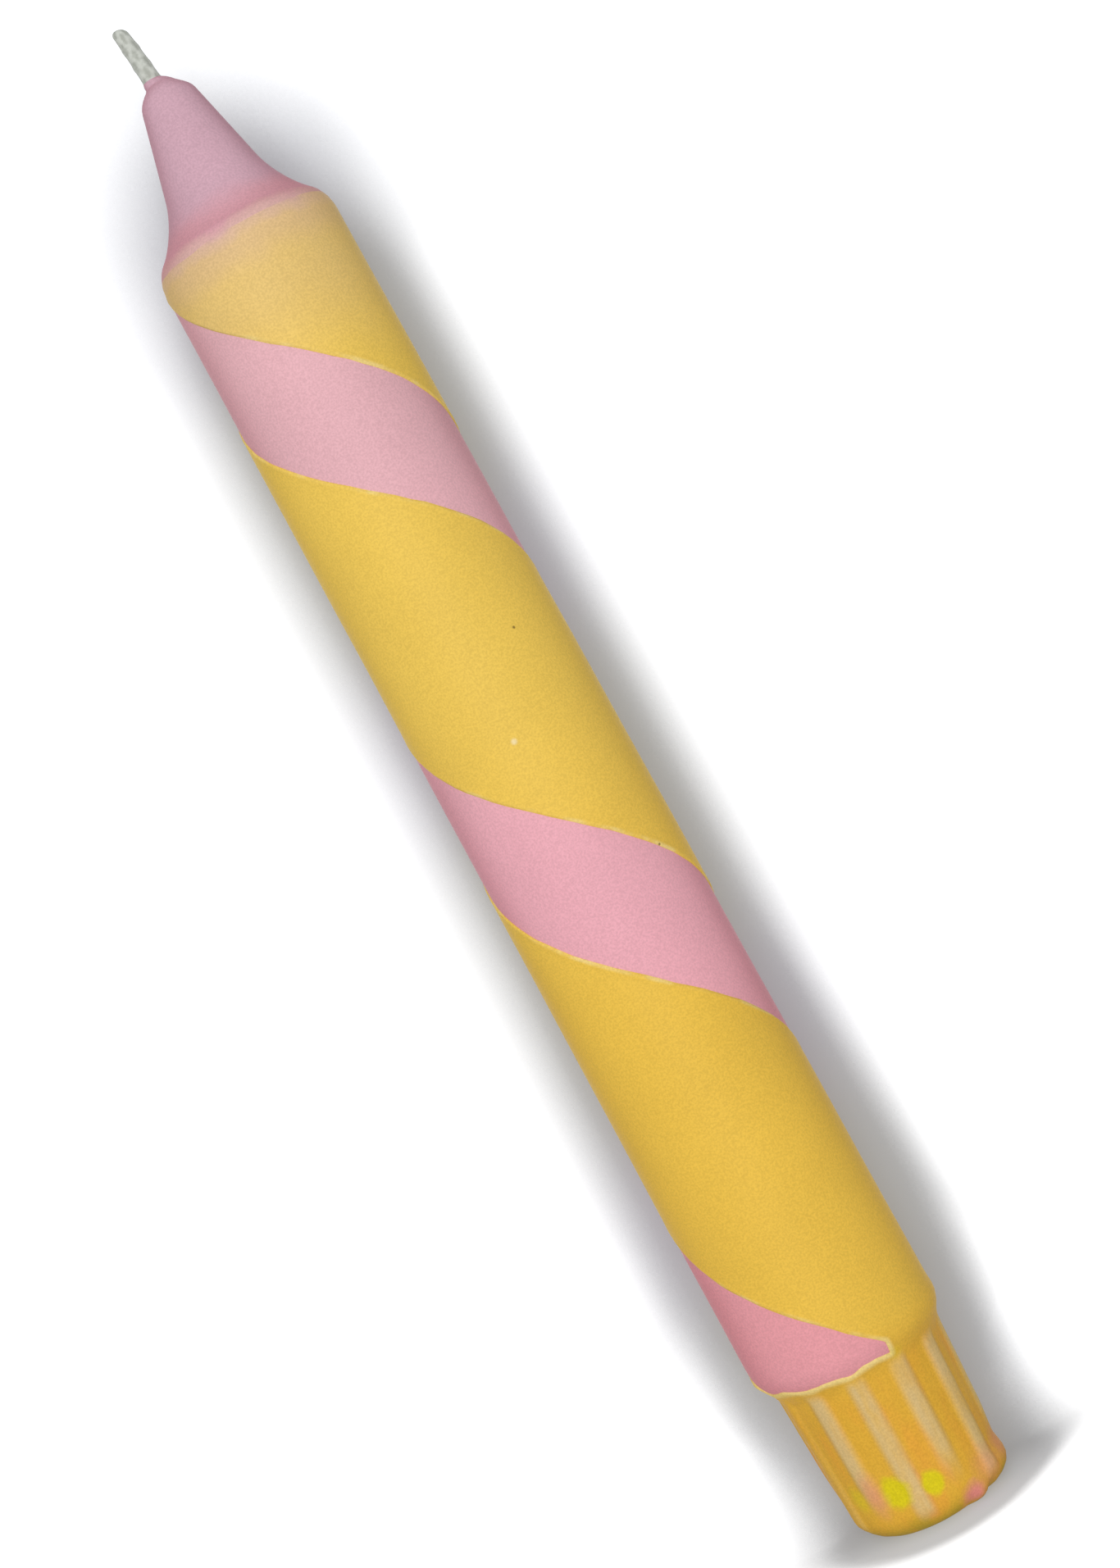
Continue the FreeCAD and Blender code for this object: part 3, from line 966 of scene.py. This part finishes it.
def add_seen(tree):
    """1 for the rays that show a background, which come from the camera, from gloss or through glass."""
    path = tree.nodes.new("ShaderNodeLightPath")
    seen = path.outputs["Is Camera Ray"]
    for ray in ("Is Glossy Ray", "Is Transmission Ray"):
        seen = add_math(tree, "MAXIMUM", seen, path.outputs[ray])
    return seen


def wax_grain_group():
    """Cloudy and grainy wax: slow clouds, fine speckle, and a height for the bump."""
    group, inside, outside = new_group(
        "Wax Grain",
        [("Vector", "NodeSocketVector"), ("Color", "NodeSocketColor"), ("Clouds", "NodeSocketFloat"),
         ("Speckle", "NodeSocketFloat")],
        [("Color", "NodeSocketColor"), ("Height", "NodeSocketFloat")])
    vector = inside.outputs["Vector"]
    clouds = add_patches(group, vector, scale=75.0, detail=3.0, cut=(0.3, 0.7), levels=(-0.5, 0.5))
    speckle = add_patches(group, vector, scale=4300.0, detail=1.0, cut=(0.25, 0.75), levels=(-0.5, 0.5))
    pores = add_noise(group, vector, scale=900.0, detail=4.0, roughness=0.6)
    change = add_math(group, "MULTIPLY", clouds, inside.outputs["Clouds"])
    change = add_math(group, "MULTIPLY_ADD", speckle, inside.outputs["Speckle"], change)
    level = add_math(group, "ADD", change, 1.0)
    shade = add_vector_math(group, "SCALE", inside.outputs["Color"], level)
    group.links.new(shade, outside.inputs["Color"])
    height = add_math(group, "MULTIPLY_ADD", speckle, SPECKLE_HEIGHT, pores)
    group.links.new(height, outside.inputs["Height"])
    return group


def stain_group():
    """Mask of a soft round stain at a place on the surface, with an uneven edge."""
    group, inside, outside = new_group(
        "Wax Stain",
        [("Vector", "NodeSocketVector"), ("Place", "NodeSocketVector"), ("Radius", "NodeSocketFloat"),
         ("Softness", "NodeSocketFloat"), ("Squash", "NodeSocketVector")],
        [("Mask", "NodeSocketFloat")])
    vector, place, radius, softness, squash = inside.outputs[:5]
    offset = add_vector_math(group, "SUBTRACT", vector, place)
    offset = add_vector_math(group, "MULTIPLY", offset, squash)
    rough = add_patches(group, vector, scale=900.0, detail=2.0, cut=(0.0, 1.0), levels=(0.8, 1.2))
    distance = add_math(group, "MULTIPLY", add_vector_math(group, "LENGTH", offset), rough)
    inner = add_math(group, "SUBTRACT", radius, softness)
    outer = add_math(group, "ADD", radius, softness)
    group.links.new(add_range(group, distance, inner, outer, 1.0, 0.0), outside.inputs["Mask"])
    return group


def shared_group(name, build):
    """Node group made once and then shared by the materials that use it."""
    return bpy.data.node_groups.get(name) or build()


# Materials

def new_material(name, roughness, specular=0.5):
    """Material with one Principled BSDF and the object's own coordinates."""
    material = bpy.data.materials.new(name)
    material.use_nodes = True
    tree = material.node_tree
    shader = tree.nodes["Principled BSDF"]
    shader.inputs["Roughness"].default_value = roughness
    shader.inputs["Specular IOR Level"].default_value = specular
    coordinates = tree.nodes.new("ShaderNodeTexCoord").outputs["Object"]
    return material, tree, shader, coordinates


def add_height_ramp(tree, coordinates, tilt, stops):
    """Colours that change with height, with the dip line's tilt: stops are (height, colour) upwards."""
    drift = add_patches(
        tree, coordinates, scale=220.0, detail=3.0, cut=(0.2, 0.8), levels=(-RAMP_DRIFT, RAMP_DRIFT))
    across, up = (add_place(tree, coordinates, axis) for axis in "XZ")
    height = add_math(tree, "MULTIPLY_ADD", across, -math.tan(tilt), up)
    height = add_math(tree, "ADD", height, drift)
    low, high = stops[0][0], stops[-1][0]
    part = tree.nodes.new("ShaderNodeMapRange")
    part.inputs["From Min"].default_value = low
    part.inputs["From Max"].default_value = high
    tree.links.new(height, part.inputs["Value"])
    ramp = tree.nodes.new("ShaderNodeValToRGB")
    ramp.color_ramp.interpolation = "EASE"
    elements = ramp.color_ramp.elements
    while len(elements) < len(stops):
        elements.new(0.5)
    for element, (place, colour) in zip(elements, stops):
        element.position = (place - low) / (high - low)
        element.color = linear(colour)
    tree.links.new(part.outputs["Result"], ramp.inputs["Fac"])
    return ramp.outputs["Color"]


def add_wax_surface(tree, shader, coordinates, colour, limb_shade):
    """Wax grain on a colour with painted shade where the surface turns away from the view, and its bump."""
    colour = add_mix(tree, add_facing_mask(tree, *LIMB_SHADE_FACING), colour, limb_shade, "MULTIPLY")
    grain = tree.nodes.new("ShaderNodeGroup")
    grain.node_tree = shared_group("Wax Grain", wax_grain_group)
    tree.links.new(coordinates, grain.inputs["Vector"])
    tree.links.new(colour, grain.inputs["Color"])
    grain.inputs["Clouds"].default_value = CLOUDS
    grain.inputs["Speckle"].default_value = SPECKLE
    tree.links.new(grain.outputs["Color"], shader.inputs["Base Color"])
    add_bump(tree, shader, grain.outputs["Height"], *WAX_BUMP)


def add_stain(tree, coordinates, place, radius, softness, tall):
    """Mask of a stain at a place, stretched upwards."""
    stain = tree.nodes.new("ShaderNodeGroup")
    stain.node_tree = shared_group("Wax Stain", stain_group)
    tree.links.new(coordinates, stain.inputs["Vector"])
    values = {"Place": place, "Radius": radius, "Softness": softness, "Squash": (1, 1, 1 / tall)}
    for name, value in values.items():
        stain.inputs[name].default_value = value
    return stain.outputs["Mask"]


def pink_wax_material(wax, coat, colours):
    """Pink wax that grows paler and cooler towards the cone, redder just above the dip line, and darker and
    greyer on the nose and cone as painted shade.
    """
    material, tree, shader, coordinates = new_material("pink_wax", roughness=0.6, specular=0.12)
    dip = dip_height(wax, coat)
    colour = add_height_ramp(tree, coordinates, coat.dip_tilt, [
        (0, colours.lower_pink),
        (26 * MM, colours.lower_pink),
        (80 * MM, colours.middle_pink),
        (135 * MM, colours.upper_pink),
        (dip - 3 * MM, colours.upper_pink),
        (dip - 0.3 * MM, colours.edge_pink),
        (dip + 0.15 * MM, colours.edge_pink),
        (dip + 1.0 * MM, colours.dip_pink),
        (dip + 1.8 * MM, colours.dip_pink),
        # Painted shade: the nose and cone take the darker, greyer cone pink
        (dip + 5.2 * MM, colours.cone_pink_and_shade),
        (wax.wax_height + 1 * MM, colours.cone_pink_and_shade),
    ])
    # Painted shade: the pink darkens where it turns away from the view
    add_wax_surface(tree, shader, coordinates, colour, PINK_LIMB_SHADE)
    return material


def place_at(radius, degrees, height, shift=0.0):
    """Place at a radius, by its direction from the front in degrees and its height."""
    direction = FRONT + math.radians(degrees)
    return (radius * math.cos(direction) + shift, radius * math.sin(direction), height)


def foot_place(foot, degrees, height):
    """Place on the foot's surface."""
    radius = foot.bottom_radius + (foot.top_radius - foot.bottom_radius) * height / foot.length
    return place_at(radius, degrees, height, foot.offset)


def body_place(wax, degrees, height):
    """Place on the body's surface."""
    radius = wax.bottom_radius + (wax.top_radius - wax.bottom_radius) * height / wax.wax_height
    return place_at(radius, degrees, height)


def add_foot_colours(tree, coordinates, colours, colour):
    """Orange streaks in the foot's grooves and worn, paler ribs."""
    stretched = add_vector_math(tree, "MULTIPLY", coordinates, STREAKED)
    ribs = add_attribute(tree, "rib")
    beside = add_math(tree, "MULTIPLY", ribs, add_math(tree, "SUBTRACT", 1.0, ribs))
    streaks = add_patches(tree, stretched, scale=380.0, detail=3.0, cut=(0.42, 0.7))
    orange = add_math(tree, "MULTIPLY_ADD", beside, *ORANGE)
    orange = add_math(tree, "MULTIPLY", orange, streaks, clamp=True)
    orange = add_math(tree, "MULTIPLY", orange, add_height_mask(tree, coordinates, *ORANGE_END))
    colour = add_mix(tree, orange, colour, linear(colours.groove_orange))
    worn = add_patches(tree, stretched, scale=500.0, detail=3.0, cut=(0.2, 0.6), levels=(0.4, 0.95))
    worn = add_math(tree, "MULTIPLY", worn, add_height_mask(tree, coordinates, *WORN_START, "X"))
    return add_mix(tree, add_math(tree, "MULTIPLY", ribs, worn), colour, linear(colours.rib_beige))


def add_lip_colours(tree, coordinates, colours, colour):
    """Pale lip along the coat's edges, broken up along the band and even over the foot."""
    patches = add_patches(tree, coordinates, scale=260.0, detail=3.0, cut=(0.45, 0.65), levels=(0.1, 0.9))
    strength = add_math(tree, "MAXIMUM", patches, add_height_mask(tree, coordinates, *LIP_OVER_FOOT))
    lips = add_math(tree, "MULTIPLY", add_attribute(tree, "lip"), strength)
    return add_mix(tree, add_math(tree, "MULTIPLY", lips, LIP_STRENGTH), colour, linear(colours.lip_yellow))


def yellow_wax_material(wax, foot, coat, colours):
    """Yellow coat: paler under the dip line, orange in the foot's grooves, worn ribs, lips and stains."""
    material, tree, shader, coordinates = new_material("yellow_wax", roughness=0.55, specular=0.12)
    dip = dip_height(wax, coat)
    step = foot.length + foot.step_length
    colour = add_height_ramp(tree, coordinates, coat.dip_tilt, [
        (0, colours.olive),
        (3 * MM, colours.groove_yellow),
        (foot.length - 2 * MM, colours.groove_yellow),
        (step + 3 * MM, colours.lower_yellow),
        (60 * MM, colours.lower_yellow),
        (108 * MM, colours.middle_yellow),
        (138 * MM, colours.middle_yellow),
        (dip - 6 * MM, colours.shoulder_yellow),
        (dip - 2.0 * MM, colours.upper_yellow),
        (dip - 0.7 * MM, colours.dip_yellow),
        (dip + 0.1 * MM, colours.edge_pink),
    ])
    colour = add_foot_colours(tree, coordinates, colours, colour)
    colour = add_lip_colours(tree, coordinates, colours, colour)
    stains = [
        (foot_place(foot, -21.4, 5.9 * MM), 1.6 * MM, 0.55 * MM, 1.15, colours.lemon, 1.0),
        (foot_place(foot, 3.9, 5.2 * MM), 1.2 * MM, 0.4 * MM, 1.15, colours.lemon, 1.0),
        (foot_place(foot, -52, 6.2 * MM), 1.1 * MM, 0.7 * MM, 1.3, colours.lemon, 0.5),
        (foot_place(foot, -37, 6.4 * MM), 1.0 * MM, 0.8 * MM, 2.2, colours.salmon, 0.65),
        (foot_place(foot, 28, 1.2 * MM), 1.4 * MM, 0.9 * MM, 1.0, colours.drip_pink, 0.9),
        (foot_place(foot, 48, 3.2 * MM), 1.8 * MM, 1.6 * MM, 1.0, colours.salmon, 0.5),
        (foot_place(foot, 76, 3.6 * MM), 1.7 * MM, 1.4 * MM, 1.0, colours.salmon, 0.75),
        (foot_place(foot, 21, 20.0 * MM), 0.8 * MM, 0.6 * MM, 1.0, colours.lemon, 0.5),
        (body_place(wax, 29.8, 107.6 * MM), 0.16 * MM, 0.08 * MM, 1.0, colours.speck_dark, 0.8),
        (body_place(wax, 46.7, 79.5 * MM), 0.14 * MM, 0.08 * MM, 1.0, colours.speck_dark, 0.8),
        (body_place(wax, -2.1, 96.8 * MM), 0.32 * MM, 0.2 * MM, 1.0, colours.speck_pale, 0.8),
    ]
    for place, radius, softness, tall, stain_colour, strength in stains:
        mask = add_stain(tree, coordinates, place, radius, softness, tall)
        mask = add_math(tree, "MULTIPLY", mask, strength)
        colour = add_mix(tree, mask, colour, linear(stain_colour))
    # Painted shade: the yellow darkens and deepens where it turns away from the view
    add_wax_surface(tree, shader, coordinates, colour, YELLOW_LIMB_SHADE)
    return material


def cotton_material(colours):
    """Raw cotton braid with a little wax in it, with painted shade in the braid's hollows."""
    material, tree, shader, coordinates = new_material("wick_cotton", roughness=0.9, specular=0.2)
    strand = add_range(tree, add_attribute(tree, "strand"), *STRAND_COLOUR)
    fibre = add_patches(tree, coordinates, scale=2600.0, detail=3.0, cut=(0.3, 0.7), levels=(-0.25, 0.25))
    mask = add_math(tree, "ADD", strand, fibre, clamp=True)
    # Painted shade: low relief takes the darker cotton of the hollows
    colour = add_mix(tree, mask, linear(colours.cotton_hollow_shade), linear(colours.cotton))
    tree.links.new(colour, shader.inputs["Base Color"])
    add_bump(tree, shader, fibre, *COTTON_BUMP)
    return material


def add_openness(tree, stage, coordinates, in_front):
    """How open a point of the stage is, from 0 to 1, judged with a lean to the side of the lamp."""
    normal = tree.nodes.new("ShaderNodeNewGeometry").outputs["Normal"]
    lean = add_vector_math(tree, "ADD", normal, (-SHADE_LEAN, 0.0, 0.0))
    cone = add_height_mask(tree, coordinates, *CONE_HEIGHTS)
    reach = add_math(tree, "MULTIPLY_ADD", cone, stage.cone_reach - stage.shade_reach, stage.shade_reach)
    reach = add_math(tree, "MULTIPLY_ADD", in_front, stage.floor_reach - stage.shade_reach, reach)
    openness = tree.nodes.new("ShaderNodeAmbientOcclusion")
    openness.samples = SHADE_SAMPLES
    tree.links.new(reach, openness.inputs["Distance"])
    tree.links.new(add_vector_math(tree, "NORMALIZE", lean), openness.inputs["Normal"])
    beside_foot = add_height_mask(tree, coordinates, *FOOT_HEIGHTS)
    closed = add_math(tree, "SUBTRACT", 1.0, openness.outputs["AO"])
    deeper = add_math(tree, "MULTIPLY_ADD", beside_foot, stage.foot_shade, 1.0)
    return add_math(tree, "SUBTRACT", 1.0, add_math(tree, "MULTIPLY", closed, deeper))


def paper_material(stage):
    """Matt paper that the camera sees white but for its soft shade, clear from behind and edge-on."""
    material, tree, shader, coordinates = new_material("white_paper", roughness=1.0, specular=0.0)
    shader.inputs["Base Color"].default_value = linear(stage.white)
    shader.inputs["Emission Color"].default_value = WHITE
    in_front = add_height_mask(tree, coordinates, *FRONT_PLACES, "Y")
    openness = add_openness(tree, stage, coordinates, in_front)
    open_part = add_math(tree, "SUBTRACT", openness, stage.shade_floor)
    light = add_math(tree, "DIVIDE", open_part, 1.0 - stage.shade_floor, clamp=True)
    least = add_math(tree, "MULTIPLY_ADD", in_front, stage.floor_light, stage.least_light)
    light = add_math(tree, "MAXIMUM", light, least)
    tree.links.new(add_math(tree, "MULTIPLY", light, add_seen(tree)), shader.inputs["Emission Strength"])
    behind = tree.nodes.new("ShaderNodeNewGeometry").outputs["Backfacing"]
    clear = tree.nodes.new("ShaderNodeBsdfTransparent")
    blend = tree.nodes.new("ShaderNodeMixShader")
    tree.links.new(add_math(tree, "MAXIMUM", add_facing_mask(tree, *EDGE_ON), behind), blend.inputs[0])
    tree.links.new(shader.outputs[0], blend.inputs[1])
    tree.links.new(clear.outputs[0], blend.inputs[2])
    tree.links.new(blend.outputs[0], tree.nodes["Material Output"].inputs["Surface"])
    return material


# Operators

class CANDLE_OT_cast_core(bpy.types.Operator):
    """Cast the pink wax core round its wick"""

    bl_idname = "candle.cast_core"
    bl_label = "Cast Core"

    def execute(self, context):
        scene = context.scene
        material = pink_wax_material(scene.candle_wax, scene.candle_coat, scene.candle_colours)
        bm = make_core_mesh(scene.candle_wax, scene.candle_foot, scene.candle_coat, scene.candle_wick)
        finish_piece(bm, "pink_core", material, "wax_core")
        return {"FINISHED"}


class CANDLE_OT_dip_coat(bpy.types.Operator):
    """Dip the taped core into the yellow wax"""

    bl_idname = "candle.dip_coat"
    bl_label = "Dip Coat"

    def execute(self, context):
        scene = context.scene
        material = yellow_wax_material(
            scene.candle_wax, scene.candle_foot, scene.candle_coat, scene.candle_colours)
        bm = make_coat_mesh(scene.candle_wax, scene.candle_foot, scene.candle_coat)
        finish_piece(bm, "yellow_coat", material, "overdip")
        return {"FINISHED"}


class CANDLE_OT_lay_wick(bpy.types.Operator):
    """Lay the braided cotton wick"""

    bl_idname = "candle.lay_wick"
    bl_label = "Lay Wick"

    def execute(self, context):
        scene = context.scene
        bm = make_wick_mesh(scene.candle_wax, scene.candle_wick, scene.candle_coat.thickness)
        material = cotton_material(scene.candle_colours)
        finish_piece(bm, "cotton_wick", material, "wick")
        return {"FINISHED"}


def add_paper_sweep(stage):
    """Floor and backdrop as one sheet of paper with a hollow between them, seen but throwing no light."""
    bm = bmesh.new()
    front = bm.verts.new((-stage.half_width, -stage.half_width, 0))
    corner = bm.verts.new((-stage.half_width, stage.wall_gap, 0))
    top = bm.verts.new((-stage.half_width, stage.wall_gap, stage.half_width))
    bm.edges.new((front, corner))
    bm.edges.new((corner, top))
    round_corner(bm, corner, stage.sweep_rounding, SWEEP_ARC)
    made = bmesh.ops.extrude_edge_only(bm, edges=bm.edges[:])["geom"]
    moved = [item for item in made if isinstance(item, bmesh.types.BMVert)]
    bmesh.ops.translate(bm, verts=moved, vec=(2 * stage.half_width, 0, 0))
    bmesh.ops.recalc_face_normals(bm, faces=bm.faces)
    bm.normal_update()
    if any(face.normal.z < -0.5 for face in bm.faces):
        bmesh.ops.reverse_faces(bm, faces=bm.faces)
    sweep = mesh_object(bm, "paper_sweep", paper_material(stage))
    sweep.visible_shadow = False
    sweep.visible_diffuse = False


def light_world(stage):
    """Pale light from all round, and plain white where the camera sees past the stage."""
    world = bpy.data.worlds.new("studio")
    world.use_nodes = True
    tree = world.node_tree
    background = tree.nodes["Background"]
    background.inputs["Color"].default_value = WHITE
    level = add_math(tree, "MULTIPLY_ADD", add_seen(tree), 1.0 - stage.world_level, stage.world_level)
    tree.links.new(level, background.inputs["Strength"])
    bpy.context.scene.world = world


def hang_lamp(stage, name, watts, side, place):
    """Large square lamp at a place, turned to the candle's middle."""
    lamp = bpy.data.lights.new(name, "AREA")
    lamp.energy = watts
    lamp.size = side
    holder = add_object(name, lamp)
    holder.location = place
    aim = Vector((0, 0, stage.camera_height)) - holder.location
    holder.rotation_euler = aim.to_track_quat("-Z", "Y").to_euler()


def place_camera(stage):
    """Camera level with the body's middle, rolled as the photograph was taken."""
    camera = bpy.data.cameras.new("camera")
    camera.sensor_width = SENSOR_WIDTH
    camera.lens = stage.focal_pixels * camera.sensor_width / PHOTO_HEIGHT
    camera.shift_x = (PHOTO_WIDTH / 2 - stage.axis_pixel_x) / PHOTO_HEIGHT
    camera.shift_y = (stage.axis_pixel_y - PHOTO_HEIGHT / 2) / PHOTO_HEIGHT
    camera.clip_start = 10 * MM
    holder = add_object("camera", camera)
    holder.location = (0, -stage.camera_front, stage.camera_height)
    level = Matrix.Rotation(math.pi / 2, 4, "X")
    holder.rotation_euler = (level @ Matrix.Rotation(-stage.camera_roll, 4, "Z")).to_euler()
    bpy.context.scene.camera = holder


class CANDLE_OT_set_stage(bpy.types.Operator):
    """Set the floor, the backdrop, the lamps and the camera"""

    bl_idname = "candle.set_stage"
    bl_label = "Set Stage"

    def execute(self, context):
        stage = context.scene.candle_stage
        context.scene.view_settings.view_transform = "Standard"
        add_paper_sweep(stage)
        light_world(stage)
        front_place = (-stage.lamp_left, -stage.lamp_front, stage.lamp_height)
        hang_lamp(stage, "soft_lamp", stage.lamp_power, stage.lamp_side, front_place)
        back_place = (0, stage.back_distance, stage.camera_height)
        hang_lamp(stage, "back_lamp", stage.back_power, stage.back_side, back_place)
        place_camera(stage)
        return {"FINISHED"}


class CANDLE_PT_sidebar(bpy.types.Panel):
    """Panel that lists the candle's steps and settings"""

    bl_idname = "CANDLE_PT_sidebar"
    bl_label = "Taper Candle"
    bl_space_type = "VIEW_3D"
    bl_region_type = "UI"
    bl_category = "Candle"

    def draw(self, context):
        for step in STEPS:
            self.layout.operator(step)
        for name, group in SETTINGS:
            box = self.layout.box()
            box.label(text=group.__doc__)
            for prop in group.__annotations__:
                box.prop(getattr(context.scene, name), prop)


STEPS = ("candle.cast_core", "candle.dip_coat", "candle.lay_wick", "candle.set_stage")
SETTINGS = (
    ("candle_wax", CandleWax),
    ("candle_foot", CandleFoot),
    ("candle_coat", CandleCoat),
    ("candle_wick", CandleWick),
    ("candle_colours", CandleColours),
    ("candle_stage", CandleStage),
)
CLASSES = (
    CANDLE_OT_cast_core,
    CANDLE_OT_dip_coat,
    CANDLE_OT_lay_wick,
    CANDLE_OT_set_stage,
    CANDLE_PT_sidebar,
)


def register():
    for name, group in SETTINGS:
        bpy.utils.register_class(group)
        setattr(bpy.types.Scene, name, bpy.props.PointerProperty(type=group))
    for cls in CLASSES:
        bpy.utils.register_class(cls)


def unregister():
    for cls in reversed(CLASSES):
        bpy.utils.unregister_class(cls)
    for name, group in reversed(SETTINGS):
        delattr(bpy.types.Scene, name)
        bpy.utils.unregister_class(group)


def main():
    register()
    bpy.ops.candle.cast_core()
    bpy.ops.candle.dip_coat()
    bpy.ops.candle.lay_wick()
    bpy.ops.candle.set_stage()


if __name__ == "__main__":
    main()
